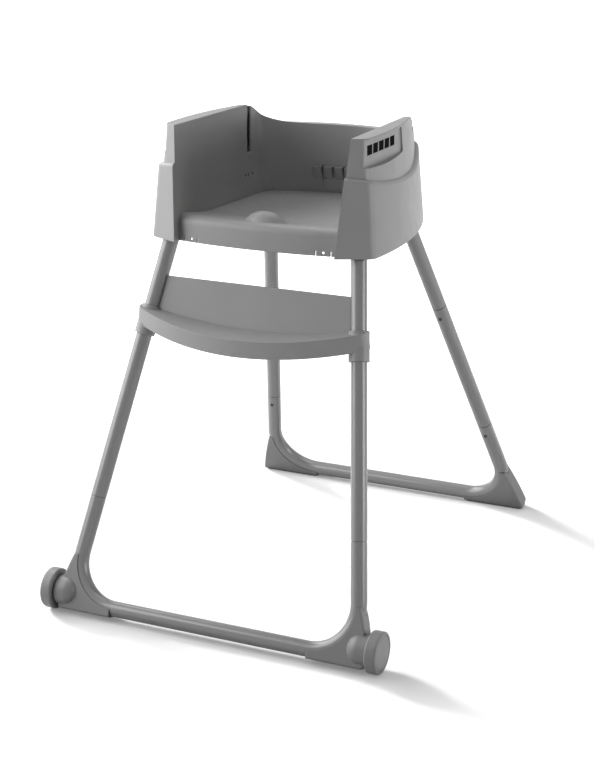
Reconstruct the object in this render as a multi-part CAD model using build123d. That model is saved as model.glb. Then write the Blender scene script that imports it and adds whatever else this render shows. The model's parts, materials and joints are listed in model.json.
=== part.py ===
from build123d import *
import os
from math import atan, cos, radians, sin, sqrt, tan

os.makedirs("parts", exist_ok=True)

# High chair on two leg frames, in millimetres. Z is up, the front is -Y, X = 0 is the mirror plane,
# and the origin lies on the floor under the middle of the overall box.

# Overall sizes
overall_depth = 796.4
wheel_d = 66.2
wheel_outer_x = 292.5

# Leg tubes: the lower section of every joint is the outer one, the upper section has a reduced spigot
tube_d = 25.4
tube_wall = 1.4
spigot_clear = 0.1
spigot_length = 45.0
joint_gap = 1.0

# Front leg frame: axis of the floor bar, half span of the legs at the bar, and where the legs meet the seat
front_bar_z = 17.5
front_bar_ahead = 2.7
front_half_span = 255.3
front_bend_r = 73.0
front_joint_z = 181.8
front_leg_top_h = 28.0
front_leg_seat_y = 48.0
front_leg_from_side = 38.6

# Rear leg frame
rear_bar_z = 15.4
rear_half_span = 245.8
rear_bend_r = 75.0
rear_low_joint_z = 182.3
rear_high_joint_z = 422.6
rear_leg_top_h = 12.0
rear_leg_from_back = 73.0
rear_leg_from_side = 73.9

# Snap buttons that lock the leg sections
button_d = 6.6
button_clear = 0.1
button_below_joint = 20.0
button_proud = 2.4
button_round = 2.6
button_flange_d = 9.6
button_flange_t = 1.2
button_seat_clear = 0.15
spring_strip_t = 0.6
spring_strip_w = 5.5
spring_reach = 26.0

# Seat shell, measured from its front inner corner at the bottom edge
seat_front_from_wheel = 158.6
seat_bottom_z = 588.0
wall_h = 180.0
back_h = 142.5
seat_half_width = 197.0
seat_depth = 386.4
skin = 3.0
outer_draft = 0.086
inner_draft = 0.076
inner_taper = 0.032
front_wall_w = 59.0
front_face_angle = 25.0
front_corner_r = 16.0
side_r = 650.0
side_apex_y = 97.0
side_end_angle = 22.0
rear_corner_r = 36.0
cavity_back_r = 231.0
back_wall_t = 34.4
cavity_corner_r = 20.0
ear_start_from_back = 128.4
ear_end_from_back = 36.4
ledge_inset = 6.6
ledge_front_h = 147.5
ledge_mid_y = 66.0
ledge_mid_h = 112.6
ledge_low_from_back = 151.4
ledge_low_h = 100.5
ledge_rear_past = 1.6
ledge_rear_h = 157.0
ledge_round = 6.0

# Seat pan, front apron and pommel
apron_bow_r = 800.0
apron_sector = 16.0
apron_y = 1.0
lip_y = 6.0
lip_h = 43.0
lip_r = 14.0
pan_front_y = 95.0
pan_front_h = 29.0
pan_rear_h = 25.0
pommel_y = 45.0
pommel_half_depth = 38.5
pommel_half_width = 62.0
pommel_h = 24.0
pommel_top_h = 53.5
tab_slit_inner_x = 102.0
tab_slit_outer_x = 126.0
tab_slit_w = 2.0
tab_slit_h = 8.0
tab_window = 4.2
tab_window_h = 5.0
tab_cut_depth = 23.0

# Grip panel on the outside of each wall, with its row of plain inlays
panel_front_y = 12.0
panel_rear_y = 188.0
panel_low_h = 134.0
panel_low_bow = 4.5
panel_rim = 3.0
panel_end_depth = 0.8
panel_mid_depth_top = 5.0
panel_mid_depth_low = 9.0
panel_margin = 12.0
panel_corner_r = 6.0
inlay_first_y = 49.4
inlay_pitch = 22.6
inlay_count = 5
inlay_w = 18.8
inlay_low_h = 153.0
inlay_h = 15.0
inlay_t = 1.2
inlay_clear = 0.1

# Harness slots in the back wall and strap slots in the side walls
harness_pitch = 37.5
harness_slot_w = 4.5
harness_low_h = 37.0
harness_slot_h = 34.5
harness_block_near = 2.4
harness_block_w = 13.5
harness_block_low_h = 49.5
harness_block_h = 21.0
harness_block_proud = 9.0
harness_block_foot = 1.0
strap_slot_from_back = 129.9
strap_slot_w = 13.0
strap_slot_low_h = 101.0
strap_slot_lean = 0.14
strap_slot_deep = 2.5
strap_exit_from_back = 86.4
strap_exit_h = 102.0
strap_exit_d = 6.0
ear_slit_w = 2.2
ear_slit_start_from_back = 104.0
ear_slit_end_from_back = 66.0
strap_hole_h = 64.0
strap_hole_d = 4.5
strap_hole_offsets = (-12.0, -1.0, 14.0)

# Leg sockets in the hollow of the shell, with their cross bolts
socket_fit = 0.15
socket_low_h = 2.0
front_socket_top_h = 44.0
front_socket_half_x = 30.0
front_socket_half_y = 27.0
rear_socket_half = 22.0
bolt_d = 5.0
bolt_head_d = 9.0
bolt_head_t = 3.0
bolt_clear = 0.1
nut_t = 4.0
bolt_span = 31.0

# Footrest on the front legs
collar_below_step = 27.0
collar_above_step = 17.0
collar_wall = 3.6
collar_clear = 0.1
step_top_z = 463.0
step_rim_h = 27.0
step_sag_r = 1000.0
step_setback = 55.7
step_nose = 67.0
step_skin = 3.0
step_end_r = 14.0
calf_panel_above_step = 65.0
calf_panel_t = 4.0
calf_panel_gap = 0.3
footrest_screw_d = 4.0
footrest_screw_head_d = 7.0
footrest_screw_head_t = 2.0

# Front corner brackets, wheels and axles
bracket_wall = 1.2
bracket_clear = 0.3
bracket_floor_gap = 1.5
bracket_rise = 77.0
bracket_along_bar = 82.0
bracket_edge_in = 2.0
bracket_bulge = 5.0
hub_r = 24.0
hub_round = 20.0
hub_inner_x = 237.0
wheel_width = 18.5
wheel_edge_r = 3.0
wheel_gap = 2.0
axle_d = 8.0
axle_clear = 0.06
axle_inset = 3.0
axle_head_d = 14.0
axle_head_t = 3.0
axle_head_clear = 0.3
axle_head_room = 1.2
cap_d = 54.0
cap_t = 3.0
cap_edge_r = 1.5
cap_clear = 0.05
cap_to_head = 1.5

# Rear feet and their rubber pads
pad_t = 2.5
pad_margin = 3.0
foot_wall = 1.2
foot_rise = 76.0
foot_along_bar = 94.0
foot_outer_x = 268.0
foot_bulge = 2.0
sole_h = 7.0
sole_margin = 1.0
sole_outer_in = 4.0
sole_corner_r = 7.0

# Rounding and outer edge of brackets and feet
corner_lap = 8.4
corner_heel_r = 8.0
corner_round = 4.0

# Blind rivets that hold brackets and feet on the tubes
rivet_d = 4.0
rivet_head_d = 7.5
rivet_head_t = 1.5
rivet_offset = 4.0
rivet_inset = 15.0
rivet_grip = 4.2

# How far cutting shapes run past what they cut
beyond = 60.0

# Derived places
tube_r = tube_d / 2
bore_r = tube_r - tube_wall
spigot_r = bore_r - spigot_clear
spigot_bore_r = spigot_r - tube_wall
wheel_r = wheel_d / 2
wheel_axis_y = wheel_r - overall_depth / 2
seat_y = wheel_axis_y + seat_front_from_wheel
sides = {"left": -1, "right": 1}
wall_top_z = seat_bottom_z + wall_h
back_top_z = seat_bottom_z + back_h
ledge_front_z = seat_bottom_z + ledge_front_h
ledge_mid_z = seat_bottom_z + ledge_mid_h
ledge_low_z = seat_bottom_z + ledge_low_h
ledge_rear_z = seat_bottom_z + ledge_rear_h
lip_z = seat_bottom_z + lip_h
pan_front_z = seat_bottom_z + pan_front_h
pan_rear_z = seat_bottom_z + pan_rear_h
pommel_top_z = seat_bottom_z + pommel_top_h
tab_window_z = seat_bottom_z + tab_window_h
panel_low_z = seat_bottom_z + panel_low_h
panel_top_z = wall_top_z - panel_rim
inlay_low_z = seat_bottom_z + inlay_low_h
harness_low_z = seat_bottom_z + harness_low_h
harness_block_low_z = seat_bottom_z + harness_block_low_h
strap_slot_low_z = seat_bottom_z + strap_slot_low_h
strap_exit_z = seat_bottom_z + strap_exit_h
strap_hole_z = seat_bottom_z + strap_hole_h
socket_low_z = seat_bottom_z + socket_low_h
front_socket_top_z = seat_bottom_z + front_socket_top_h
front_leg_top_z = seat_bottom_z + front_leg_top_h
rear_leg_top_z = seat_bottom_z + rear_leg_top_h
cavity_back_y = seat_depth - back_wall_t
ear_start_y = seat_depth - ear_start_from_back
ear_end_y = seat_depth - ear_end_from_back
ledge_low_y = seat_depth - ledge_low_from_back
strap_slot_y = seat_depth - strap_slot_from_back
strap_exit_y = seat_depth - strap_exit_from_back
ledge_rear_y = seat_depth + ledge_rear_past
front_inner_half = seat_half_width - front_wall_w
collar_low_z = step_top_z - collar_below_step
collar_top_z = step_top_z + collar_above_step
calf_panel_top_z = step_top_z + calf_panel_above_step


class LegFrame:
    """A pair of splayed legs from one floor bar up to the seat, all in one leaning plane."""

    def __init__(self, bar_y, bar_z, half_span, bend_r, top):
        self.bar_y = bar_y
        self.bar_z = bar_z
        self.half_span = half_span
        self.bend_r = bend_r
        rise = top.Z - bar_z
        self.splay = (half_span - top.X) / rise
        self.lean = (top.Y - bar_y) / rise
        self.slant = sqrt(1 + self.lean**2)
        self.normal = Vector(0, -1, self.lean).normalized()

    def at(self, side, z):
        """Point of a leg's axis at height z."""
        rise = z - self.bar_z
        return Vector(side * (self.half_span - self.splay * rise), self.bar_y + self.lean * rise, z)

    def up(self, side):
        """Direction of a leg's axis."""
        return Vector(-side * self.splay, self.lean, 1).normalized()

    def plane(self):
        """Plane of the frame, with its X along the bar and its Y up the legs."""
        return Plane(origin=(0, self.bar_y, self.bar_z), x_dir=(1, 0, 0), z_dir=self.normal)

    def turn(self):
        """Angle through which the tube bends at each corner."""
        return radians(90) + atan(self.splay / self.slant)

    def tangent_length(self):
        return self.bend_r * tan(self.turn() / 2)

    def leg_x(self, h):
        """X of the leg's axis at a distance h up the frame's plane."""
        return self.half_span - self.splay / self.slant * h


front_top = Vector(seat_half_width - front_leg_from_side, seat_y + front_leg_seat_y, front_leg_top_z)
front = LegFrame(wheel_axis_y - front_bar_ahead, front_bar_z, front_half_span, front_bend_r, front_top)
bracket_half_t = tube_r + bracket_wall
foot_half_t = tube_r + foot_wall

# Lean of the rear legs, so that the back edge of their feet ends the overall depth at the floor
rear_leg_y = seat_y + seat_depth - rear_leg_from_back
rear_top = Vector(seat_half_width - rear_leg_from_side, rear_leg_y, rear_leg_top_z)
back_run = rear_top.Y - overall_depth / 2 - sole_margin
back_rise = rear_leg_top_z - pad_t
foot_tangent = sqrt(back_rise**2 + back_run**2 - foot_half_t**2)
rear_lean = (back_rise * back_run + foot_half_t * foot_tangent) / (back_rise**2 - foot_half_t**2)
rear_bar_y = rear_top.Y - rear_lean * (rear_leg_top_z - rear_bar_z)
rear = LegFrame(rear_bar_y, rear_bar_z, rear_half_span, rear_bend_r, rear_top)
sole_half = foot_half_t * rear.slant - sole_margin
sole_y = overall_depth / 2 - sole_half


def rod(start, end, radius):
    """Round bar between two points."""
    axis = end - start
    bar = Cylinder(radius, axis.length, align=(Align.CENTER, Align.CENTER, Align.MIN))
    return Plane(origin=start, z_dir=axis) * bar


def box_between(low, high):
    """Box between two corners."""
    size = [b - a for a, b in zip(low, high)]
    return Pos(*low) * Box(*size, align=(Align.MIN, Align.MIN, Align.MIN))


def save(name, shape):
    """Write one piece, and say what it holds."""
    export_step(shape, f"parts/{name}.step")
    print(name, len(shape.solids()), round(shape.volume))


# Seat shell outlines

def outer_outline(inset):
    """Plan of the shell's outside, drawn in by an even inset."""
    beta = radians(front_face_angle)
    alpha = radians(side_end_angle)
    side_c = Vector(seat_half_width - side_r, side_apex_y)
    corner_c = side_c + Vector(cos(alpha), sin(alpha)) * (side_r - rear_corner_r)
    short = corner_c.Y - seat_depth
    back_r = (rear_corner_r**2 - corner_c.X**2 - short**2) / (2 * (short + rear_corner_r))
    back_c = Vector(0, seat_depth - back_r)
    front_in = Vector(front_inner_half - inset * sin(beta) + inset * tan(beta / 2) * cos(beta), inset)
    along = Vector(cos(beta), sin(beta))
    reach = front_in - side_c
    half_b = reach.dot(along)
    run = -half_b + sqrt(half_b**2 - reach.dot(reach) + (side_r - inset)**2)
    front_out = front_in + along * run
    side_end = side_c + Vector(cos(alpha), sin(alpha)) * (side_r - inset)
    to_corner = (corner_c - back_c).normalized()
    corner_end = back_c + to_corner * (back_r - inset)
    to_mid = ((side_end + corner_end) * 0.5 - corner_c).normalized()
    corner_mid = corner_c + to_mid * (rear_corner_r - inset)
    to_mid = ((front_out + side_end) * 0.5 - side_c).normalized()
    side_mid = side_c + to_mid * (side_r - inset)

    def across(p):
        return Vector(-p.X, p.Y)

    edges = [
        Line(front_in, front_out),
        ThreePointArc(front_out, side_mid, side_end),
        ThreePointArc(side_end, corner_mid, corner_end),
        ThreePointArc(corner_end, Vector(0, seat_depth - inset), across(corner_end)),
        ThreePointArc(across(corner_end), across(corner_mid), across(side_end)),
        ThreePointArc(across(side_end), across(side_mid), across(front_out)),
        Line(across(front_out), across(front_in)),
        Line(across(front_in), front_in),
    ]
    plan = make_face(edges)
    corners = plan.vertices().sort_by(lambda v: (abs(v.X) - front_out.X) ** 2 + (v.Y - front_out.Y) ** 2)
    return fillet(corners[:2], front_corner_r)


def outer_body(inset, low_z=seat_bottom_z, high_z=wall_top_z + skin):
    """Leaning outside of the shell between two heights."""
    rings = []
    for z in (low_z, high_z):
        rings.append(Pos(0, seat_y, z) * outer_outline(inset + outer_draft * (z - seat_bottom_z)))
    return loft(rings, ruled=True)


def cavity_outline(half, back_y, corner_r):
    """Plan of the seat's inside, open past the front and a little narrower towards the back."""
    front_y = -beyond
    front_half = half - inner_taper * front_y
    centre_y = back_y - cavity_back_r
    lean = 1 + inner_taper**2
    mid = inner_taper * half + centre_y
    shoulder_y = (mid + sqrt(mid**2 - lean * (half**2 + centre_y**2 - cavity_back_r**2))) / lean
    shoulder = half - inner_taper * shoulder_y
    plan = make_face([
        Line((-front_half, front_y), (front_half, front_y)),
        Line((front_half, front_y), (shoulder, shoulder_y)),
        ThreePointArc((shoulder, shoulder_y), (0, back_y), (-shoulder, shoulder_y)),
        Line((-shoulder, shoulder_y), (-front_half, front_y)),
    ])
    return fillet(plan.vertices().sort_by(Axis.Y)[-2:], corner_r)


def cavity_ring(z, grow):
    """Plan of the seat's inside at a height, grown by an even amount."""
    half = front_inner_half + inner_draft * (z - seat_bottom_z) + grow
    return Pos(0, seat_y, z) * cavity_outline(half, cavity_back_y + grow, cavity_corner_r + grow)


def cavity_body(grow):
    """Inside of the seat, above the pan and ahead of the apron, grown by an even amount."""
    rings = [cavity_ring(z, grow) for z in (seat_bottom_z - beyond, wall_top_z + beyond)]
    return loft(rings, ruled=True) - seat_block(grow)


def seat_block(inset):
    """Block under the pan and behind the bowed apron, drawn in by an even inset."""
    low = seat_bottom_z - beyond
    rear_y = seat_depth + beyond
    profile = Polyline(
        (apron_y + inset, low),
        (lip_y + inset, lip_z - inset),
        (pan_front_y, pan_front_z - inset),
        (rear_y, pan_rear_z - inset),
        (rear_y, low),
        close=True,
    )
    side_view = make_face(profile)
    lip = side_view.vertices().sort_by(lambda v: (v.X - lip_y) ** 2 + (v.Y - lip_z) ** 2)[0]
    side_view = fillet(lip, lip_r - inset)
    section = Plane(origin=(0, seat_y, 0), x_dir=(0, 1, 0), z_dir=(1, 0, 0)) * side_view
    turn_axis = Axis((0, seat_y + apron_y + apron_bow_r, 0), (0, 0, 1))
    half_one = revolve(section, turn_axis, apron_sector)
    half_two = revolve(section, turn_axis, -apron_sector)
    return half_one + half_two


def side_prism(face):
    """Shape drawn in side view, Y across and Z up, extruded right through the width."""
    section = Plane(origin=(0, seat_y, 0), x_dir=(0, 1, 0), z_dir=(1, 0, 0)) * face
    return extrude(section, amount=seat_half_width + beyond, both=True)


def above_top(inset):
    """Everything above the tops of the walls, the ears and the back."""
    mid = ((ear_start_y + ear_end_y) / 2, (wall_top_z + back_top_z) / 2 - inset)
    start = (ear_start_y, wall_top_z - inset)
    end = (ear_end_y, back_top_z - inset)
    far = seat_depth + beyond
    ceiling = wall_top_z + beyond
    outline = [
        Line((-beyond, wall_top_z - inset), start),
        TangentArc(start, mid, tangent=(1, 0)),
        TangentArc(end, mid, tangent=(-1, 0)),
        Line(end, (far, back_top_z - inset)),
        Line((far, back_top_z - inset), (far, ceiling)),
        Line((far, ceiling), (-beyond, ceiling)),
        Line((-beyond, ceiling), (-beyond, wall_top_z - inset)),
    ]
    return side_prism(make_face(outline))


def below_ledge(inset):
    """Everything below the curved ledge that runs round the outside of the walls."""
    front_end = (-beyond, ledge_front_z - inset)
    low = (ledge_low_y, ledge_low_z - inset)
    rise_end = (ledge_rear_y, ledge_rear_z - inset)
    far = seat_depth + beyond
    floor_z = seat_bottom_z - beyond
    ledge = ThreePointArc(front_end, (ledge_mid_y, ledge_mid_z - inset), low)
    rise = TangentArc(low, rise_end, tangent=ledge % 1)
    outline = [
        ledge,
        rise,
        Line(rise_end, (far, rise_end[1])),
        Line((far, rise_end[1]), (far, floor_z)),
        Line((far, floor_z), (-beyond, floor_z)),
        Line((-beyond, floor_z), front_end),
    ]
    return side_prism(make_face(outline))


def panel_prism(grow):
    """Side view of the grip panels: a bowed lower edge, and open to the front."""
    front_y = panel_front_y - grow
    rear_y = panel_rear_y + grow
    low_z = panel_low_z - grow
    end_z = low_z + panel_low_bow
    high_z = panel_top_z + grow
    outline = make_face([
        ThreePointArc((front_y, end_z), ((front_y + rear_y) / 2, low_z), (rear_y, end_z)),
        Line((rear_y, end_z), (rear_y, high_z)),
        Line((rear_y, high_z), (front_y, high_z)),
        Line((front_y, high_z), (front_y, end_z)),
    ])
    rear_corners = outline.vertices().sort_by(Axis.X)[-2:]
    return side_prism(fillet(rear_corners, panel_corner_r + grow))


def panel_x(y, z, depth):
    """X of the upper wall's outside, drawn in by a depth."""
    radius = side_r - ledge_inset - outer_draft * (z - seat_bottom_z)
    return seat_half_width - side_r + sqrt(radius**2 - (y - side_apex_y) ** 2) - depth


def panel_body(inset):
    """Outside of the shell at the grip panels, which are hollowed towards their middle and bottom."""
    front_y = panel_front_y - panel_margin
    rear_y = panel_rear_y + panel_margin
    mid_y = (front_y + rear_y) / 2
    deepening = (panel_mid_depth_low - panel_mid_depth_top) / (wall_top_z - panel_low_z)
    rings = []
    for z in (panel_low_z - panel_margin, wall_top_z + panel_margin):
        mid_depth = panel_mid_depth_top + deepening * (wall_top_z - z)
        front_x = panel_x(front_y, z, panel_end_depth + inset)
        mid_x = panel_x(mid_y, z, mid_depth + inset)
        rear_x = panel_x(rear_y, z, panel_end_depth + inset)
        plan = make_face([
            ThreePointArc((front_x, front_y), (mid_x, mid_y), (rear_x, rear_y)),
            Line((rear_x, rear_y), (-rear_x, rear_y)),
            ThreePointArc((-rear_x, rear_y), (-mid_x, mid_y), (-front_x, front_y)),
            Line((-front_x, front_y), (front_x, front_y)),
        ])
        rings.append(Pos(0, seat_y, z) * plan)
    return loft(rings, ruled=True)


def lower_body(inset, floor_z):
    """Wider lower part of the shell's outside, whose upper edge is rounded where it shows."""
    body = outer_body(inset, floor_z) & below_ledge(inset)
    if inset > 0:
        return body
    rims = [f.edges().filter_by(GeomType.BSPLINE) for f in body.faces().filter_by(GeomType.CYLINDER)]
    return fillet([e for rim in rims for e in rim], ledge_round)


def shell_outside(inset):
    """Outside of the whole shell, drawn in by an even inset."""
    floor_z = seat_bottom_z if inset == 0 else seat_bottom_z - skin
    wall = outer_body(ledge_inset + inset, floor_z)
    upper = wall - panel_prism(inset)
    panel = wall & panel_body(inset) & panel_prism(inset)
    lower = lower_body(inset, floor_z)
    return (upper + panel + lower) - above_top(inset)


def shell_hollow(inset):
    """Hollow of the shell, open at the bottom."""
    return shell_outside(inset) - cavity_body(inset)


def seat_box(x_range, y_range, z_range):
    """Box placed by the seat's own measures."""
    low = (x_range[0], seat_y + y_range[0], z_range[0])
    high = (x_range[1], seat_y + y_range[1], z_range[1])
    return box_between(low, high)


def pommel():
    """Smooth bump between the legs, at the front of the pan, wider than it is deep."""
    top = (0, pommel_top_z)
    rim = (pommel_half_depth, pommel_top_z - pommel_h)
    root = pommel_top_z - 2 * pommel_h
    section = make_face([
        Spline(top, rim, tangents=((1, 0), (1, 0))),
        Line(rim, (pommel_half_depth, root)),
        Line((pommel_half_depth, root), (0, root)),
        Line((0, root), top),
    ])
    upright = Plane(origin=(0, seat_y + pommel_y, 0), x_dir=(1, 0, 0), z_dir=(0, -1, 0)) * section
    bump = revolve(upright, Axis((0, seat_y + pommel_y, 0), (0, 0, 1)), 360)
    wide = scale(bump, by=(pommel_half_width / pommel_half_depth, 1, 1))
    return wide - seat_block(skin / 2)


def harness_blocks():
    """Wedges on both sides of each harness slot in the back wall, proud at the top."""
    low_z = harness_block_low_z
    high_z = low_z + harness_block_h
    blocks = []
    for slot in (-1, 0, 1):
        for hand in (-1, 1):
            near = slot * harness_pitch + hand * harness_block_near
            far = near + hand * harness_block_w
            blocks.append(seat_box(
                sorted((near, far)), (cavity_back_y / 2, seat_depth), (low_z, high_z)))
    room = [cavity_ring(low_z, -harness_block_foot), cavity_ring(high_z, -harness_block_proud)]
    ring = cavity_body(skin / 2) - loft(room, ruled=True)
    return ring & Compound(blocks)


def harness_slots():
    """Upright slots through the inner skin of the back wall."""
    half = harness_slot_w / 2
    slots = []
    for slot in (-1, 0, 1):
        x = slot * harness_pitch
        slots.append(seat_box(
            (x - half, x + half), (cavity_back_y / 2, cavity_back_y + 2 * skin),
            (harness_low_z, harness_low_z + harness_slot_h)))
    return Compound(slots)


def strap_slots():
    """Openings in the right side wall: a slot open at the top, lacing and exit holes, a slit in the ear."""
    inner_x = front_inner_half / 2
    top_z = wall_top_z + skin
    shift = strap_slot_lean * (top_z - strap_slot_low_z)
    slot = make_face(Polyline(
        (strap_slot_y, strap_slot_low_z),
        (strap_slot_y + strap_slot_w, strap_slot_low_z),
        (strap_slot_y + strap_slot_w + shift, top_z),
        (strap_slot_y + shift, top_z),
        close=True,
    ))
    section = Plane(origin=(inner_x, seat_y, 0), x_dir=(0, 1, 0), z_dir=(1, 0, 0)) * slot
    cuts = extrude(section, amount=seat_half_width) & cavity_body(skin + strap_slot_deep)
    behind = front_inner_half + strap_slot_deep
    for offset in strap_hole_offsets:
        hole_y = seat_y + strap_slot_y + offset
        start = Vector(inner_x, hole_y, strap_hole_z)
        cuts = cuts + rod(start, Vector(behind, hole_y, strap_hole_z), strap_hole_d / 2)
    start = Vector(behind, seat_y + strap_exit_y, strap_exit_z)
    cuts = cuts + rod(start, Vector(seat_half_width, seat_y + strap_exit_y, strap_exit_z), strap_exit_d / 2)
    slit_ends = (seat_depth - ear_slit_start_from_back, seat_depth - ear_slit_end_from_back)
    slit_room = seat_box((inner_x, seat_half_width), slit_ends, (strap_slot_low_z, top_z))
    slit = (cavity_body(skin + ear_slit_w) - cavity_body(skin)) & slit_room
    return cuts + slit


def apron_tabs():
    """Slits that free a springy tab at each end of the apron, and the window in each tab."""
    half = tab_slit_w / 2
    half_window = tab_window / 2
    deep = (apron_y - skin, apron_y + tab_cut_depth)
    slit_heights = (seat_bottom_z - skin, seat_bottom_z + tab_slit_h)
    window_heights = (tab_window_z - half_window, tab_window_z + half_window)
    cuts = []
    for side in sides.values():
        for x in (tab_slit_inner_x, tab_slit_outer_x):
            cuts.append(seat_box((side * x - half, side * x + half), deep, slit_heights))
        x = side * (tab_slit_inner_x + tab_slit_outer_x) / 2
        cuts.append(seat_box((x - half_window, x + half_window), deep, window_heights))
    return Compound(cuts)


def inlay_prisms(grow):
    """Side view of the row of inlays, on the right side."""
    blocks = []
    for i in range(inlay_count):
        y = inlay_first_y + i * inlay_pitch
        blocks.append(seat_box(
            (front_inner_half, seat_half_width), (y - grow, y + inlay_w + grow),
            (inlay_low_z - grow, inlay_low_z + inlay_h + grow)))
    return Compound(blocks)


def inlays(grow, depth):
    """Thin plates let into the grip panel on the right side, down to a depth."""
    return (panel_body(0) - panel_body(depth)) & inlay_prisms(grow)


def mirrored(shape):
    """The same piece on the other side of the chair."""
    return mirror(shape, about=Plane.YZ)


def both_sides(name, right_shape):
    """Write a right-hand piece and its mirror image."""
    save(name + "_right", right_shape)
    save(name + "_left", mirrored(right_shape))


def make_shell():
    """Moulded seat: double walls, pan, apron and back in one skin."""
    shell = shell_outside(0) - cavity_body(0) - shell_hollow(skin)
    shell = shell + pommel() + harness_blocks()
    right_cuts = [strap_slots(), inlays(inlay_clear, inlay_t)]
    for cut in right_cuts:
        shell = shell - cut - mirrored(cut)
    return shell - harness_slots() - apron_tabs()


# Leg sockets

def leg_bore(frame, top_z):
    """Space that a right leg's upper end takes in its socket."""
    start = frame.at(1, socket_low_z - beyond)
    end = frame.at(1, top_z) + frame.up(1) * spigot_clear
    return rod(start, end, tube_r + spigot_clear)


def bolt_line(frame, top_z):
    """Middle of a leg's cross bolt, between the shell's edge and the leg's end."""
    return frame.at(1, (socket_low_z + top_z) / 2)


def bolt_parts(frame, top_z):
    """Bolt across a leg and its socket, with its head outside and its nut inside."""
    mid = bolt_line(frame, top_z)
    half = Vector(bolt_span / 2, 0, 0)
    head_in = mid + half
    nut_in = mid - half
    shank = rod(nut_in - Vector(nut_t, 0, 0), head_in, bolt_d / 2)
    head = rod(head_in, head_in + Vector(bolt_head_t, 0, 0), bolt_head_d / 2)
    nut_plane = Plane(origin=nut_in, x_dir=(0, 1, 0), z_dir=(-1, 0, 0))
    nut = extrude(nut_plane * RegularPolygon(bolt_head_d / 2, 6), amount=nut_t)
    nut = nut - rod(nut_in, nut_in - Vector(nut_t, 0, 0), bolt_d / 2 + bolt_clear)
    return shank + head, nut


def bolt_room(frame, top_z):
    """Hole and the two counterbores for a cross bolt."""
    mid = bolt_line(frame, top_z)
    half = Vector(bolt_span / 2, 0, 0)
    far = Vector(seat_half_width, 0, 0)
    room = rod(mid - far, mid + far, bolt_d / 2 + bolt_clear)
    pocket = bolt_head_d / 2 + 2 * bolt_clear
    return room + rod(mid + half, mid + far, pocket) + rod(mid - far, mid - half, pocket)


def bolt_hole(frame, top_z):
    """Hole for a cross bolt in the leg's tube."""
    mid = bolt_line(frame, top_z)
    far = Vector(tube_d, 0, 0)
    return rod(mid - far, mid + far, bolt_d / 2 + bolt_clear)


def make_socket(frame, top_z, half_x, half_y, high_z):
    """Block that fills the shell's hollow round a right leg's upper end."""
    mid = bolt_line(frame, top_z)
    low = (mid.X - half_x, mid.Y - half_y, socket_low_z)
    high = (mid.X + half_x, mid.Y + half_y, high_z)
    room = box_between(low, high)
    block = shell_hollow(skin + socket_fit) & room
    return block - leg_bore(frame, top_z) - bolt_room(frame, top_z)


# Leg tubes and snap buttons

def button_place(frame, joint_z, facing):
    """Middle of a right leg at a button, and the way the button points."""
    middle = frame.at(1, joint_z) - frame.up(1) * button_below_joint
    return middle, frame.normal * facing


def button_hole(frame, joint_z, facing):
    """Hole for a button through one wall of both tubes."""
    middle, out = button_place(frame, joint_z, facing)
    return rod(middle, middle + out * tube_d, button_d / 2 + button_clear)


def make_button(frame, joint_z, facing):
    """Domed button with a flange that stops it inside the spigot."""
    middle, out = button_place(frame, joint_z, facing)
    flange_r = button_flange_d / 2
    flange_top = sqrt(spigot_bore_r**2 - flange_r**2) - button_seat_clear
    tip = middle + out * (tube_r + button_proud)
    stem = rod(middle + out * (flange_top - button_flange_t), tip, button_d / 2)
    rim = stem.edges().sort_by_distance(tip)[0]
    stem = fillet(rim, button_round)
    return stem + rod(middle + out * (flange_top - button_flange_t), middle + out * flange_top, flange_r)


def make_spring(frame, joint_z, facing):
    """Bent strip that pushes a button out, from the far wall of the spigot."""
    middle, out = button_place(frame, joint_z, facing)
    flange_r = button_flange_d / 2
    flange_low = sqrt(spigot_bore_r**2 - flange_r**2) - button_seat_clear - button_flange_t
    near = flange_low - spring_strip_t / 2 - spigot_clear / 2
    far = -sqrt(spigot_bore_r**2 - spring_strip_w**2 / 4) + spring_strip_t / 2 + spigot_clear
    bend = (near + far) / 2
    upper = [(-flange_r, near), (flange_r, near), (spring_reach, bend)]
    line = Polyline(*upper, (flange_r, far), (-flange_r, far))
    plane = Plane(origin=middle, x_dir=frame.up(1), z_dir=frame.up(1).cross(out))
    return extrude(plane * trace(line, spring_strip_t), amount=spring_strip_w / 2, both=True)


def leg_section(frame, low_z, high_z):
    """Right leg section with a reduced spigot below its lower end."""
    low = frame.at(1, low_z)
    high = frame.at(1, high_z)
    up = frame.up(1)
    shoulder = low + up * joint_gap
    neck = up * (2 * tube_wall)
    section = rod(shoulder, high, tube_r) + rod(low - up * spigot_length, shoulder, spigot_r)
    section = section - rod(shoulder + neck, high, bore_r)
    return section - rod(low - up * spigot_length, high, spigot_bore_r)


def base_path(frame, joint_z):
    """Axis of a floor bar with its two bent-up ends."""
    corner = Vector(frame.half_span, frame.bar_y, frame.bar_z)
    points = [frame.at(-1, joint_z), Vector(-corner.X, corner.Y, corner.Z), corner, frame.at(1, joint_z)]
    return FilletPolyline(*points, radius=frame.bend_r)


def swept(path, radius):
    return sweep(Plane(origin=path @ 0, z_dir=path % 0) * Circle(radius), path=path)


def make_base_tube(frame, joint_z):
    """Floor bar bent up at both ends into the lower leg sections."""
    path = base_path(frame, joint_z)
    return swept(path, tube_r) - swept(path, bore_r)


# Corner pieces on the bends

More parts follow.
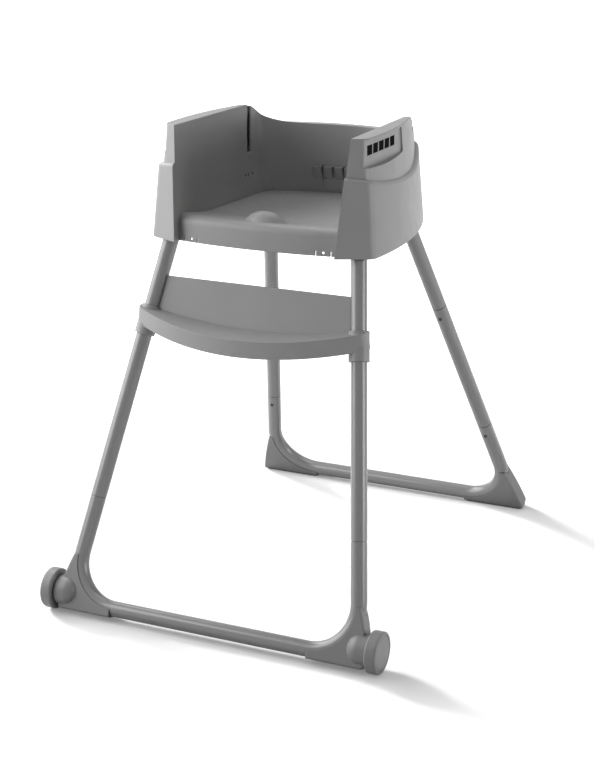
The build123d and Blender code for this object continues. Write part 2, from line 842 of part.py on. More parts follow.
def bend_plate(frame, along_bar, rise, outer_x, bulge, half_t):
    """Plate on the outside of a right bend, from the middle line of the tube to a bulging outer edge."""
    start_x = frame.half_span - along_bar
    bend_x = frame.half_span - frame.tangent_length()
    heel = Vector(outer_x, -half_t)
    top = Vector(frame.leg_x(rise) + corner_lap, rise)
    along = (top - heel).normalized()
    middle = (heel + top) * 0.5 + Vector(along.Y, -along.X) * bulge
    outline = make_face([
        Line((start_x, frame.bend_r), (start_x, -half_t)),
        Line((start_x, -half_t), heel),
        ThreePointArc(heel, middle, top),
        Line(top, (frame.leg_x(rise), rise)),
        Line((frame.leg_x(rise), rise), (start_x, frame.bend_r)),
    ])
    heel_corner = outline.vertices().sort_by(lambda v: v.X - v.Y)[-1]
    outline = fillet(heel_corner, corner_heel_r) - Pos(bend_x, frame.bend_r) * Circle(frame.bend_r)
    plate = extrude(frame.plane() * outline, amount=half_t, both=True)
    rim = [e for e in plate.edges() if on_rim(frame, e, top.X, half_t)]
    return fillet(rim, corner_round)


def on_rim(frame, edge, top_x, half_t):
    """Whether an edge of a corner plate lies along its outer rim, on one of its two flat faces."""
    middle = frame.plane().to_local_coords(edge @ 0.5)
    ends = [frame.plane().to_local_coords(edge @ t) for t in (0, 1)]
    flat = all(abs(abs(p.Z) - half_t) < corner_round / 2 for p in ends)
    bottom = middle.Y < -half_t / 2
    outer = min(p.X for p in ends) > top_x - corner_round
    return flat and abs(middle.Z) > half_t / 2 and (bottom or outer)


def bend_axis_x(frame, h):
    """X of the tube's axis at a distance h up the plane, on the bend or above it."""
    bend_x = frame.half_span - frame.tangent_length()
    if h < frame.bend_r + frame.bend_r * sin(frame.turn() - radians(90)):
        return bend_x + sqrt(frame.bend_r**2 - (frame.bend_r - h) ** 2)
    return frame.leg_x(h)


def bend_axis_h(frame, x):
    """Distance of the tube's axis up the plane at a given X, on the bar or its bend."""
    run = max(0.0, x - (frame.half_span - frame.tangent_length()))
    return frame.bend_r - sqrt(frame.bend_r**2 - run**2)


def rivet_places(frame, along_bar, rise):
    """Places of a corner's two rivets, in the frame's plane."""
    up_leg = rise - rivet_inset
    bar_x = frame.half_span - along_bar + rivet_inset
    on_leg = (bend_axis_x(frame, up_leg) + rivet_offset, up_leg)
    on_bar = (bar_x, bend_axis_h(frame, bar_x) - rivet_offset)
    return [on_leg, on_bar]


def rivets(frame, along_bar, rise, half_t, grow):
    """Blind rivets from behind a right corner piece into the tube."""
    plane = frame.plane()
    pieces = []
    for x, h in rivet_places(frame, along_bar, rise):
        face = plane.from_local_coords(Vector(x, h, -half_t))
        inside = plane.from_local_coords(Vector(x, h, -half_t + bracket_wall + rivet_grip))
        shank = rod(face, inside, rivet_d / 2 + grow)
        if grow == 0:
            head_end = plane.from_local_coords(Vector(x, h, -half_t - rivet_head_t))
            shank = shank + rod(head_end, face, rivet_head_d / 2)
        pieces.append(shank)
    return pieces


def make_bracket(base_space):
    """Right front corner bracket with the wheel's hub."""
    edge_x = wheel_outer_x - wheel_width - wheel_gap
    plate = bend_plate(front, bracket_along_bar, bracket_rise, edge_x - bracket_edge_in,
                       bracket_bulge, bracket_half_t)
    hub = rod(Vector(hub_inner_x, wheel_axis_y, wheel_r), Vector(edge_x, wheel_axis_y, wheel_r), hub_r)
    hub = fillet(hub.edges().sort_by(Axis.X)[0], hub_round)
    floor_cut = box_between((0, wheel_axis_y - overall_depth, -overall_depth),
                            (wheel_outer_x, overall_depth, bracket_floor_gap))
    bracket = plate + hub - base_space - floor_cut
    axle_in = Vector(hub_inner_x + axle_inset, wheel_axis_y, wheel_r)
    bracket = bracket - rod(axle_in, Vector(wheel_outer_x, wheel_axis_y, wheel_r), axle_d / 2)
    for hole in rivets(front, bracket_along_bar, bracket_rise, bracket_half_t, bracket_clear / 2):
        bracket = bracket - hole
    return bracket.solids().sort_by(SortBy.VOLUME)[-1]


def make_wheel():
    """Right wheel with a bore, a pocket for the axle's head and a seat for its cap."""
    centre = Vector(0, wheel_axis_y, wheel_r)
    out = Vector(1, 0, 0)
    past = centre + out * (wheel_outer_x + beyond)
    wheel = rod(centre + out * (wheel_outer_x - wheel_width), centre + out * wheel_outer_x, wheel_r)
    wheel = fillet(wheel.edges(), wheel_edge_r)
    wheel = wheel - rod(centre, past, axle_d / 2 + axle_clear)
    wheel = wheel - rod(centre + out * (wheel_outer_x - cap_t), past, cap_d / 2 + cap_clear)
    pocket_x = wheel_outer_x - cap_t - cap_to_head - axle_head_t - axle_head_clear
    return wheel - rod(centre + out * pocket_x, past, axle_head_d / 2 + axle_head_room)


def make_axle():
    """Right axle: pressed into the bracket, with a head that keeps the wheel on."""
    centre = Vector(0, wheel_axis_y, wheel_r)
    out = Vector(1, 0, 0)
    head_out = wheel_outer_x - cap_t - cap_to_head
    pin = rod(centre + out * (hub_inner_x + axle_inset), centre + out * head_out, axle_d / 2)
    return pin + rod(centre + out * (head_out - axle_head_t), centre + out * head_out, axle_head_d / 2)


def make_cap():
    """Right wheel's plain cap."""
    centre = Vector(0, wheel_axis_y, wheel_r)
    out = Vector(1, 0, 0)
    cap = rod(centre + out * (wheel_outer_x - cap_t), centre + out * wheel_outer_x, cap_d / 2)
    return fillet(cap.edges().sort_by(Axis.X)[-1], cap_edge_r)


def sole_outline(margin):
    """Plan of a right rear foot's sole, drawn in by an even margin."""
    start_x = rear.half_span - foot_along_bar
    end_x = foot_outer_x - sole_outer_in
    plan = RectangleRounded(end_x - start_x - 2 * margin, 2 * (sole_half - margin), sole_corner_r - margin)
    return Pos((start_x + end_x) / 2, sole_y) * plan


def make_foot(base_space):
    """Right rear foot: a corner piece on the bend, with a flat sole."""
    plate = bend_plate(rear, foot_along_bar, foot_rise, foot_outer_x, foot_bulge, foot_half_t)
    sole = extrude(Pos(0, 0, pad_t) * sole_outline(0), amount=sole_h)
    floor_cut = box_between((0, 0, -overall_depth), (wheel_outer_x, overall_depth, pad_t))
    foot = plate + sole - base_space - floor_cut
    for hole in rivets(rear, foot_along_bar, foot_rise, foot_half_t, bracket_clear / 2):
        foot = foot - hole
    return foot.solids().sort_by(SortBy.VOLUME)[-1]


def make_pad():
    """Right rear foot's rubber pad."""
    return extrude(sole_outline(pad_margin - sole_margin), amount=pad_t)


# Footrest

def make_footrest():
    """Dished step with a front rim, a panel behind the calves and a collar on each leg."""
    leg_y = front.at(1, step_top_z).Y
    nose_y = leg_y - step_nose
    collar_r = tube_r + collar_clear + collar_wall
    end_x = front.at(1, step_top_z).X + collar_r
    step_bow_r = (end_x**2 + step_setback**2) / (2 * step_setback)
    low_z = collar_low_z - step_skin
    high_z = collar_top_z + step_rim_h

    def plan(inset, z):
        half = front.at(1, z).X + collar_r - inset
        front_y = nose_y + step_bow_r - sqrt((step_bow_r - inset) ** 2 - half**2)
        rear_y = leg_y + calf_panel_t - inset
        outline = make_face([
            ThreePointArc((-half, front_y), (0, nose_y + inset), (half, front_y)),
            Line((half, front_y), (half, rear_y)),
            Line((half, rear_y), (-half, rear_y)),
            Line((-half, rear_y), (-half, front_y)),
        ])
        return fillet(outline.vertices().sort_by(Axis.Y)[:2], step_end_r - inset)

    def column(inset):
        return loft([Pos(0, 0, z) * plan(inset, z) for z in (low_z, high_z)], ruled=True)

    def below_dish(drop):
        disc = Pos(0, step_top_z + step_sag_r) * Circle(step_sag_r + drop)
        section = Plane(origin=(0, nose_y - beyond, 0), x_dir=(1, 0, 0), z_dir=(0, -1, 0)) * disc
        return extrude(section, amount=-step_nose - 2 * beyond)

    step = column(0) - below_dish(0)
    step = step & below_dish(step_rim_h)
    step = step - (column(step_skin) - below_dish(step_skin))
    low_h = (step_top_z - step_rim_h / 2 - front.bar_z) * front.slant
    high_h = (calf_panel_top_z - front.bar_z) * front.slant
    clear = tube_r / cos(atan(front.splay / front.slant)) + calf_panel_gap
    low_x = front.leg_x(low_h) - clear
    high_x = front.leg_x(high_h) - clear
    lower = [(-low_x, low_h), (low_x, low_h)]
    board = make_face(Polyline(*lower, (high_x, high_h), (-high_x, high_h), close=True))
    step = step + extrude(front.plane() * board, amount=calf_panel_t / 2, both=True)
    for side in sides.values():
        step = step + rod(front.at(side, collar_low_z), front.at(side, collar_top_z), collar_r)
    for side in sides.values():
        leg_space = rod(front.at(side, low_z), front.at(side, high_z), tube_r + collar_clear)
        step = step - leg_space
        step = step - footrest_screw(side, collar_clear / 2)
    return step


def footrest_screw(side, grow):
    """Screw from behind through a collar into its leg."""
    middle = front.at(side, (collar_low_z + collar_top_z) / 2)
    back = front.normal * -1
    face = middle + back * (tube_r + collar_clear + collar_wall)
    shank = rod(middle + back * (bore_r - 2 * tube_wall), face, footrest_screw_d / 2 + grow)
    if grow == 0:
        shank = shank + rod(face, face + back * footrest_screw_head_t, footrest_screw_head_d / 2)
    return shank


# Make and write every piece
save("seat_shell", make_shell())
both_sides("side_inlays", inlays(0, inlay_t))

front_socket = make_socket(front, front_leg_top_z, front_socket_half_x, front_socket_half_y,
                           front_socket_top_z)
rear_socket = make_socket(rear, rear_leg_top_z, rear_socket_half, rear_socket_half, pan_rear_z)
both_sides("front_leg_socket", front_socket)
both_sides("rear_leg_socket", rear_socket)

bolts = []
nuts = []
for frame, top_z in ((front, front_leg_top_z), (rear, rear_leg_top_z)):
    bolt, nut = bolt_parts(frame, top_z)
    bolts += [bolt, mirrored(bolt)]
    nuts += [nut, mirrored(nut)]
save("leg_bolts", Compound([s for b in bolts for s in b.solids()]))
save("leg_nuts", Compound([s for n in nuts for s in n.solids()]))

front_hole = button_hole(front, front_joint_z, -1)
rear_low_hole = button_hole(rear, rear_low_joint_z, 1)
rear_high_hole = button_hole(rear, rear_high_joint_z, 1)
front_leg = leg_section(front, front_joint_z, front_leg_top_z)
front_leg = front_leg - bolt_hole(front, front_leg_top_z) - front_hole - footrest_screw(1, collar_clear / 2)
rear_upper = leg_section(rear, rear_high_joint_z, rear_leg_top_z)
rear_upper = rear_upper - bolt_hole(rear, rear_leg_top_z) - rear_high_hole
rear_middle = leg_section(rear, rear_low_joint_z, rear_high_joint_z) - rear_low_hole - rear_high_hole
both_sides("front_leg", front_leg)
both_sides("rear_leg_upper", rear_upper)
both_sides("rear_leg_middle", rear_middle)

front_space = swept(base_path(front, front_joint_z), tube_r + bracket_clear)
rear_space = swept(base_path(rear, rear_low_joint_z), tube_r + bracket_clear)
front_holes = rivets(front, bracket_along_bar, bracket_rise, bracket_half_t, bracket_clear / 2)
front_holes.append(front_hole)
rear_holes = rivets(rear, foot_along_bar, foot_rise, foot_half_t, bracket_clear / 2)
rear_holes.append(rear_low_hole)
front_base = make_base_tube(front, front_joint_z)
for hole in front_holes:
    front_base = front_base - hole - mirrored(hole)
rear_base = make_base_tube(rear, rear_low_joint_z)
for hole in rear_holes:
    rear_base = rear_base - hole - mirrored(hole)
save("front_base_tube", front_base)
save("rear_base_tube", rear_base)

both_sides("wheel_bracket", make_bracket(front_space))
both_sides("wheel", make_wheel())
both_sides("wheel_axle", make_axle())
both_sides("wheel_cap", make_cap())
both_sides("rear_foot", make_foot(rear_space))
both_sides("foot_pad", make_pad())

corner_rivets = rivets(front, bracket_along_bar, bracket_rise, bracket_half_t, 0)
corner_rivets += rivets(rear, foot_along_bar, foot_rise, foot_half_t, 0)
corner_rivets += [mirrored(r) for r in corner_rivets]
save("corner_rivets", Compound([s for r in corner_rivets for s in r.solids()]))

buttons = {
    "front_snap": (front, front_joint_z, -1),
    "rear_upper_snap": (rear, rear_high_joint_z, 1),
    "rear_lower_snap": (rear, rear_low_joint_z, 1),
}
for name, place in buttons.items():
    both_sides(name + "_button", make_button(*place))
    both_sides(name + "_spring", make_spring(*place))

save("footrest", make_footrest())
screws = [footrest_screw(side, 0) for side in sides.values()]
save("footrest_screws", Compound([s for screw in screws for s in screw.solids()]))
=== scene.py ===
import json
import math

import bmesh
import bpy
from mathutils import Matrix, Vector

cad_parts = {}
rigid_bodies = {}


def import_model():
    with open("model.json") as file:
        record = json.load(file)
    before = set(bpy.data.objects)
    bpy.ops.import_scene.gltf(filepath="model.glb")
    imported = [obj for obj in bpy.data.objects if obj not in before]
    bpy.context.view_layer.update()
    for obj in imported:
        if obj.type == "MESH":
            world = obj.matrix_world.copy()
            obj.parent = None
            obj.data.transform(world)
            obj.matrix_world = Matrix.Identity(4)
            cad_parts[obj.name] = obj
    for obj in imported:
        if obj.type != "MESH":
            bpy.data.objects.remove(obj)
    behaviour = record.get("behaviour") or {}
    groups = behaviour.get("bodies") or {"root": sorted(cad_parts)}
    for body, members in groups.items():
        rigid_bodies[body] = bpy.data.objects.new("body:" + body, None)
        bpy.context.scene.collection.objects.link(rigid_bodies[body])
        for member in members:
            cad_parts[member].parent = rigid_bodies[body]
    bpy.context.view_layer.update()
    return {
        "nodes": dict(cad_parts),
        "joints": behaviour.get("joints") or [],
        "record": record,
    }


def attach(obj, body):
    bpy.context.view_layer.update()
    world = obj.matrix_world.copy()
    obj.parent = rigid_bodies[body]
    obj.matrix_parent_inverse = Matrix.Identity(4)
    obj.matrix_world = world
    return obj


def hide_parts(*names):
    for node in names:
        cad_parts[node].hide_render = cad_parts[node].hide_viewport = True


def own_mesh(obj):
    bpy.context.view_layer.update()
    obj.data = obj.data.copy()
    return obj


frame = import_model()
nodes = frame["nodes"]

# Camera at the photographed angle: metres, degrees, and millimetres for its lens
CAMERA_AT = (1.2416, -2.6798, 1.2369)
CAMERA_TURN = 25.216
CAMERA_DIP = 17.234
LENS = 86.82
SENSOR = 36.0

# Corners of a mesh closer than this are one corner
WELD = 1e-6

# Most of a cloudy pattern lies between these values
NOISE_LOW = 0.3
NOISE_HIGH = 0.7

# Painted corner shade: from this open share and below it is darkest, from that one and above there is none
SHUT_IN = 0.2
WIDE_OPEN = 0.7

# Rays that look for corners and edges round a point
RAYS = 6
COAT_RAYS = 4

# Moulded plastic: patterns in cells a metre, lengths in metres
PLASTIC_GLOSS = 0.5
PLASTIC_CLOUDS = 9.0
PLASTIC_CLOUD_SPREAD = 0.04
PLASTIC_SMEARS = 45.0
PLASTIC_SMEAR_SPREAD = 0.05
PLASTIC_GRAIN = 0.0007
FINE_GRAIN = 0.0004
GRAIN_DEPTH = 0.00006
GRAIN_STRENGTH = 0.35
# Painted highlight on edges: how much lighter, and how far a rounded edge turns before it is fully lighter
EDGE_PAINTED_LIGHTER = 0.12
EDGE_HIGHLIGHT_TURN = 0.75
# Painted shade in creases and gaps: how far it looks round, and its darkest share
PLASTIC_CREASE = 0.014
PLASTIC_CREASE_SHADE = 0.45

# Satin powder coat
COAT_GLOSS = 0.8
COAT_CLOUDS = 14.0
COAT_CLOUD_SPREAD = 0.02
COAT_SMEARS = 80.0
COAT_SMEAR_SPREAD = 0.012
COAT_PEEL = 600.0
COAT_PEEL_DEPTH = 0.00004
COAT_PEEL_STRENGTH = 0.05
COAT_EDGE_R = 0.0005
# Painted shade in creases and gaps on the coat: how far it looks round, and its darkest share
COAT_CREASE = 0.012
COAT_CREASE_SHADE = 0.4

# Zinc-plated steel
ZINC_GREY = (0.4, 0.405, 0.41)
ZINC_SPANGLES = 700.0
ZINC_SHADES = (0.85, 1.1)
ZINC_SMEARS = 1200.0
ZINC_ROUGHNESS = (0.25, 0.42)

# Foot pad rubber
RUBBER_BLACK = (0.035, 0.035, 0.036)
RUBBER_SPECKS = 1500.0
RUBBER_SPECK_HIGH = 0.8
RUBBER_SHADES = (0.7, 1.6)
RUBBER_SMEARS = 300.0
RUBBER_ROUGHNESS = (0.7, 0.85)
RUBBER_PITS = 1800.0
RUBBER_PIT_DEPTH = 0.0001
RUBBER_PIT_STRENGTH = 0.4

# Colours of the plastics and the coat
SEAT_GREY = (0.355, 0.36, 0.355)
FOOTREST_GREY = (0.35, 0.354, 0.35)
SOCKET_GREY = (0.3, 0.305, 0.3)
CAP_GREY = (0.275, 0.278, 0.275)
CORNER_GREY = (0.265, 0.268, 0.265)
WHEEL_GREY = (0.26, 0.263, 0.26)
TUBE_GREY = (0.26, 0.263, 0.26)
BUTTON_BLACK = (0.03, 0.03, 0.03)
INLAY_BLACK = (0.02, 0.02, 0.02)

# White floor: half its side and how far it lies under the chair
FLOOR_HALF = 15.0
FLOOR_DROP = 0.0005
FLOOR_ROUGHNESS = 0.9
FLOOR_GLOSS = 0.1

# Floor's grey where it is seen, and where light only bounces off it
FLOOR_GREY = 0.6
FLOOR_BOUNCE = 0.25

# Floor's own glow near the chair, which grows to full white between these distances
FLOOR_GLOW = 0.2
FLOOR_NEAR = 0.55
FLOOR_FAR = 1.6

# Light that falls on the floor alone: strength, and degrees of softness, turn and rise
FLOOR_LIGHT = 5.8
FLOOR_LIGHT_SOFT = 13.0
FLOOR_LIGHT_TURN = -112.0
FLOOR_LIGHT_RISE = 21.0

# Light from the white surroundings
ROOM_LIGHT = 0.01
WHITE = (1.0, 1.0, 1.0, 1.0)

# Soft boxes: name, turn and rise in degrees, distance, width and height, watts
SOFT_BOXES = (
    ("front_left_box", -62.0, 25.0, 2.3, (2.4, 2.1), 52.0),
    ("left_box", -95.0, 25.0, 2.4, (0.9, 1.2), 13.0),
    ("back_left_box", -115.0, 38.0, 2.6, (0.9, 0.9), 16.0),
    ("right_box", 90.0, 8.0, 2.4, (1.3, 1.0), 17.0),
    ("top_box", 180.0, 80.0, 2.4, (1.6, 1.6), 15.0),
)
LIT_POINT = Vector((0.0, 0.0, 0.45))


def towards(turn, rise):
    """Direction from the chair: turn is counted from the front towards the right, rise from level."""
    turn = math.radians(turn)
    rise = math.radians(rise)
    return Vector((
        math.sin(turn) * math.cos(rise),
        -math.cos(turn) * math.cos(rise),
        math.sin(rise),
    ))


def placed(name, data):
    """New object in the scene, made of a mesh, a lamp or a camera."""
    made = bpy.data.objects.new(name, data)
    bpy.context.scene.collection.objects.link(made)
    return made


def look_back(made, away):
    """Turn a camera or a lamp so that it looks back from the side on which it stands."""
    made.rotation_mode = "QUATERNION"
    made.rotation_quaternion = (-away).to_track_quat("-Z", "Y")


def photographed_view():
    """Camera looking at the chair from its front right, a little above it."""
    data = bpy.data.cameras.new("chair_camera")
    data.lens = LENS
    data.sensor_width = SENSOR
    camera = placed("chair_camera", data)
    camera.location = CAMERA_AT
    look_back(camera, towards(CAMERA_TURN, CAMERA_DIP))
    bpy.context.scene.camera = camera


def add(tree, kind, inputs=None, **settings):
    """One shader node, with its settings and what goes into its sockets."""
    made = tree.nodes.new(kind)
    for name, value in settings.items():
        setattr(made, name, value)
    for name, value in (inputs or {}).items():
        if isinstance(value, bpy.types.NodeSocket):
            tree.links.new(value, made.inputs[name])
        else:
            made.inputs[name].default_value = value
    return made


def new_finish(name):
    """Empty finish: its node tree, its surface shader and the place on the piece that its patterns follow."""
    finish = bpy.data.materials.new(name)
    finish.use_nodes = True
    tree = finish.node_tree
    surface = tree.nodes["Principled BSDF"]
    where = add(tree, "ShaderNodeTexCoord").outputs["Object"]
    return finish, tree, surface, where


def ranged(tree, value, low, high, to_low, to_high):
    """A value spread from one range to another."""
    return add(tree, "ShaderNodeMapRange", {
        "Value": value, "From Min": low, "From Max": high, "To Min": to_low, "To Max": to_high,
    }).outputs["Result"]


def noise(tree, where, scale, detail=2.0):
    """Cloudy pattern of a given number of cells in a metre."""
    return add(tree, "ShaderNodeTexNoise", {
        "Vector": where, "Scale": scale, "Detail": detail, "Roughness": 0.5,
    }).outputs["Fac"]


def clouds(tree, where, scale, detail, low, high):
    """Cloudy pattern between two values."""
    return ranged(tree, noise(tree, where, scale, detail), NOISE_LOW, NOISE_HIGH, low, high)


def times(tree, a, b):
    """One value times another."""
    return add(tree, "ShaderNodeMath", {0: a, 1: b}, operation="MULTIPLY").outputs["Value"]


def larger(tree, a, b):
    """The larger of two values."""
    return add(tree, "ShaderNodeMath", {0: a, 1: b}, operation="MAXIMUM").outputs["Value"]


def shaded(tree, colour, value):
    """A colour made lighter or darker by a value round one."""
    return add(tree, "ShaderNodeHueSaturation", {
        "Color": (*colour, 1.0), "Value": value,
    }).outputs["Color"]


def soft_edges(tree, radius, rays):
    """Surface direction with its edges rounded off."""
    return add(tree, "ShaderNodeBevel", {"Radius": radius}, samples=rays).outputs["Normal"]


def painted_crease_shade(tree, reach, darkest):
    """Painted shade: one on open surfaces, less in corners and narrow gaps, where shade falls."""
    open_share = add(tree, "ShaderNodeAmbientOcclusion", {"Distance": reach}, samples=RAYS).outputs["AO"]
    return ranged(tree, open_share, SHUT_IN, WIDE_OPEN, darkest, 1.0)


def bumps(tree, surface, height, strength, depth, over=None):
    """Small relief on a surface, over its soft edges where it has them."""
    inputs = {"Height": height, "Strength": strength, "Distance": depth}
    if over is not None:
        inputs["Normal"] = over
    bump = add(tree, "ShaderNodeBump", inputs)
    tree.links.new(bump.outputs["Normal"], surface.inputs["Normal"])


def moulded_plastic(name, colour, roughness, edge_r, grain=PLASTIC_GRAIN, gloss=PLASTIC_GLOSS):
    """Moulded plastic: fine eroded grain, soft edges painted a little lighter as a highlight, painted shade
    in creases and gaps, faint flow clouds.
    """
    finish, tree, surface, where = new_finish(name)
    surface.inputs["Specular IOR Level"].default_value = gloss
    soft = soft_edges(tree, edge_r, RAYS)
    flat = add(tree, "ShaderNodeNewGeometry").outputs["Normal"]
    turned = add(tree, "ShaderNodeVectorMath", {0: soft, 1: flat}, operation="DOT_PRODUCT").outputs["Value"]
    # Painted highlight: the colour grows lighter where the rounded edges turn
    edge = ranged(tree, turned, 1.0, EDGE_HIGHLIGHT_TURN, 1.0, 1.0 + EDGE_PAINTED_LIGHTER)
    cloud = clouds(tree, where, PLASTIC_CLOUDS, 3.0, 1.0 - PLASTIC_CLOUD_SPREAD, 1.0 + PLASTIC_CLOUD_SPREAD)
    # Painted shade darkens the colour in creases and gaps
    crease = painted_crease_shade(tree, PLASTIC_CREASE, PLASTIC_CREASE_SHADE)
    tone_and_painted_light = times(tree, times(tree, edge, cloud), crease)
    tree.links.new(shaded(tree, colour, tone_and_painted_light), surface.inputs["Base Color"])
    smooth = roughness - PLASTIC_SMEAR_SPREAD
    rough = roughness + PLASTIC_SMEAR_SPREAD
    tree.links.new(clouds(tree, where, PLASTIC_SMEARS, 4.0, smooth, rough), surface.inputs["Roughness"])
    bumps(tree, surface, noise(tree, where, 1 / grain), GRAIN_STRENGTH, GRAIN_DEPTH, soft)
    return finish


def powder_coat(name, colour, roughness):
    """Satin powder coat on the tubes: slight orange peel, faint cloudiness and painted shade in creases."""
    finish, tree, surface, where = new_finish(name)
    surface.inputs["Specular IOR Level"].default_value = COAT_GLOSS
    cloud = clouds(tree, where, COAT_CLOUDS, 3.0, 1.0 - COAT_CLOUD_SPREAD, 1.0 + COAT_CLOUD_SPREAD)
    # Painted shade darkens the coat's colour in creases and gaps
    tone_and_painted_light = times(tree, cloud, painted_crease_shade(tree, COAT_CREASE, COAT_CREASE_SHADE))
    tree.links.new(shaded(tree, colour, tone_and_painted_light), surface.inputs["Base Color"])
    smooth = roughness - COAT_SMEAR_SPREAD
    rough = roughness + COAT_SMEAR_SPREAD
    tree.links.new(clouds(tree, where, COAT_SMEARS, 3.0, smooth, rough), surface.inputs["Roughness"])
    soft = soft_edges(tree, COAT_EDGE_R, COAT_RAYS)
    bumps(tree, surface, noise(tree, where, COAT_PEEL, 1.0), COAT_PEEL_STRENGTH, COAT_PEEL_DEPTH, soft)
    return finish


def zinc_steel(name):
    """Zinc-plated steel: streaky grey metal."""
    finish, tree, surface, where = new_finish(name)
    surface.inputs["Metallic"].default_value = 1.0
    spangle = add(tree, "ShaderNodeTexVoronoi", {"Vector": where, "Scale": ZINC_SPANGLES}).outputs["Color"]
    grey = ranged(tree, spangle, 0.0, 1.0, *ZINC_SHADES)
    tree.links.new(shaded(tree, ZINC_GREY, grey), surface.inputs["Base Color"])
    tree.links.new(clouds(tree, where, ZINC_SMEARS, 3.0, *ZINC_ROUGHNESS), surface.inputs["Roughness"])
    return finish


def pad_rubber(name):
    """Dark rubber with dusty specks."""
    finish, tree, surface, where = new_finish(name)
    dust = noise(tree, where, RUBBER_SPECKS, 3.0)
    specks = ranged(tree, dust, NOISE_LOW, RUBBER_SPECK_HIGH, *RUBBER_SHADES)
    tree.links.new(shaded(tree, RUBBER_BLACK, specks), surface.inputs["Base Color"])
    tree.links.new(clouds(tree, where, RUBBER_SMEARS, 3.0, *RUBBER_ROUGHNESS), surface.inputs["Roughness"])
    bumps(tree, surface, noise(tree, where, RUBBER_PITS), RUBBER_PIT_STRENGTH, RUBBER_PIT_DEPTH)
    return finish


# Finish of each material slot in the record
FINISHES = {
    "seat_plastic": moulded_plastic("seat_grey_plastic", SEAT_GREY, roughness=0.42, edge_r=0.0022),
    "inlay_plastic": moulded_plastic(
        "inlay_dark_plastic", INLAY_BLACK, roughness=0.6, edge_r=0.0004, grain=FINE_GRAIN, gloss=0.0),
    "socket_plastic": moulded_plastic("socket_plastic", SOCKET_GREY, roughness=0.5, edge_r=0.001),
    "steel": zinc_steel("zinc_steel"),
    "tube_paint": powder_coat("tube_satin_coat", TUBE_GREY, roughness=0.23),
    "corner_plastic": moulded_plastic("corner_grey_plastic", CORNER_GREY, roughness=0.42, edge_r=0.0015),
    "wheel_plastic": moulded_plastic("wheel_grey_plastic", WHEEL_GREY, roughness=0.45, edge_r=0.001),
    "cap_plastic": moulded_plastic("cap_grey_plastic", CAP_GREY, roughness=0.42, edge_r=0.001),
    "pad_rubber": pad_rubber("foot_pad_rubber"),
    "button_plastic": moulded_plastic(
        "button_plastic", BUTTON_BLACK, roughness=0.4, edge_r=0.0005, grain=FINE_GRAIN),
    "footrest_plastic": moulded_plastic(
        "footrest_grey_plastic", FOOTREST_GREY, roughness=0.42, edge_r=0.0015),
}


def dressed_pieces():
    """Give each piece of the chair the finish of its material slot."""
    for part in frame["record"]["subparts"]:
        for holder in nodes[part["node"]].material_slots:
            holder.material = FINISHES[part["material_slot"]]


def pressed_springs():
    """Spring strips behind the snap buttons: each is welded into a smooth steel copy that takes the place of
    its strip on its joint's parent body.
    """
    for press in frame["joints"]:
        for strip in press.get("deforming_nodes", []):
            body = bmesh.new()
            body.from_mesh(nodes[strip["node"]].data)
            bmesh.ops.remove_doubles(body, verts=body.verts, dist=WELD)
            mesh = bpy.data.meshes.new(f"pressed_{strip['node']}")
            body.to_mesh(mesh)
            body.free()
            mesh.shade_smooth()
            mesh.materials.append(FINISHES["steel"])
            spring = placed(mesh.name, mesh)
            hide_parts(strip["node"])
            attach(spring, press["parent"])
            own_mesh(spring)


def soft_box(name, turn, rise, distance, size, watts):
    """Soft box round the chair, some way off its middle."""
    data = bpy.data.lights.new(name, "AREA")
    data.shape = "RECTANGLE"
    data.size, data.size_y = size
    data.energy = watts
    made = placed(name, data)
    away = towards(turn, rise)
    made.location = LIT_POINT + away * distance
    look_back(made, away)


def floor_light(floor):
    """Soft light from the back left that falls on the floor alone and draws the chair's shadow there."""
    data = bpy.data.lights.new("floor_light", "SUN")
    data.energy = FLOOR_LIGHT
    data.angle = math.radians(FLOOR_LIGHT_SOFT)
    made = placed("floor_light", data)
    look_back(made, towards(FLOOR_LIGHT_TURN, FLOOR_LIGHT_RISE))
    lit = bpy.data.collections.new("lit_floor")
    lit.objects.link(floor)
    made.light_linking.receiver_collection = lit


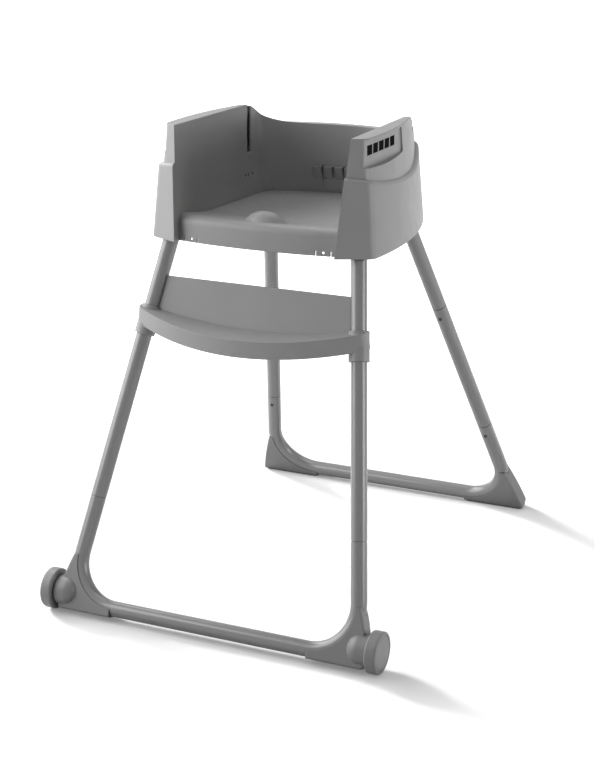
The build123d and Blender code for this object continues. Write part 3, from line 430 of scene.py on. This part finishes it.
def seen_directly(tree):
    """One where the camera, a reflection or a clear piece looks, none where light only bounces."""
    path = add(tree, "ShaderNodeLightPath").outputs
    shiny = larger(tree, path["Is Camera Ray"], path["Is Glossy Ray"])
    return larger(tree, shiny, path["Is Transmission Ray"])


def white_paint():
    """White of the floor: its own glow fades it into the surroundings, and the chair's shadow stays."""
    paint, tree, surface, where = new_finish("floor_white")
    seen = seen_directly(tree)
    tree.links.new(ranged(tree, seen, 0.0, 1.0, FLOOR_BOUNCE, FLOOR_GREY), surface.inputs["Base Color"])
    surface.inputs["Roughness"].default_value = FLOOR_ROUGHNESS
    surface.inputs["Specular IOR Level"].default_value = FLOOR_GLOSS
    surface.inputs["Emission Color"].default_value = WHITE
    away = add(tree, "ShaderNodeVectorMath", {0: where}, operation="LENGTH").outputs["Value"]
    glow = ranged(tree, away, FLOOR_NEAR, FLOOR_FAR, FLOOR_GLOW, 1.0)
    tree.links.new(times(tree, seen, glow), surface.inputs["Emission Strength"])
    return paint


def studio_floor():
    """Wide white floor just under the chair."""
    body = bmesh.new()
    bmesh.ops.create_grid(body, x_segments=1, y_segments=1, size=FLOOR_HALF)
    bmesh.ops.translate(body, verts=body.verts, vec=(0.0, 0.0, -FLOOR_DROP))
    mesh = bpy.data.meshes.new("studio_floor")
    body.to_mesh(mesh)
    body.free()
    mesh.materials.append(white_paint())
    floor = placed("studio_floor", mesh)
    return floor


def white_surroundings():
    """World that is white where it is seen and gives little light."""
    world = bpy.data.worlds.new("white_room")
    bpy.context.scene.world = world
    world.use_nodes = True
    tree = world.node_tree
    sky = tree.nodes["Background"]
    sky.inputs["Color"].default_value = WHITE
    strength = ranged(tree, seen_directly(tree), 0.0, 1.0, ROOM_LIGHT, 1.0)
    tree.links.new(strength, sky.inputs["Strength"])


dressed_pieces()
pressed_springs()
photographed_view()
floor = studio_floor()
white_surroundings()
for box in SOFT_BOXES:
    soft_box(*box)
floor_light(floor)
bpy.context.scene.view_settings.view_transform = "Standard"
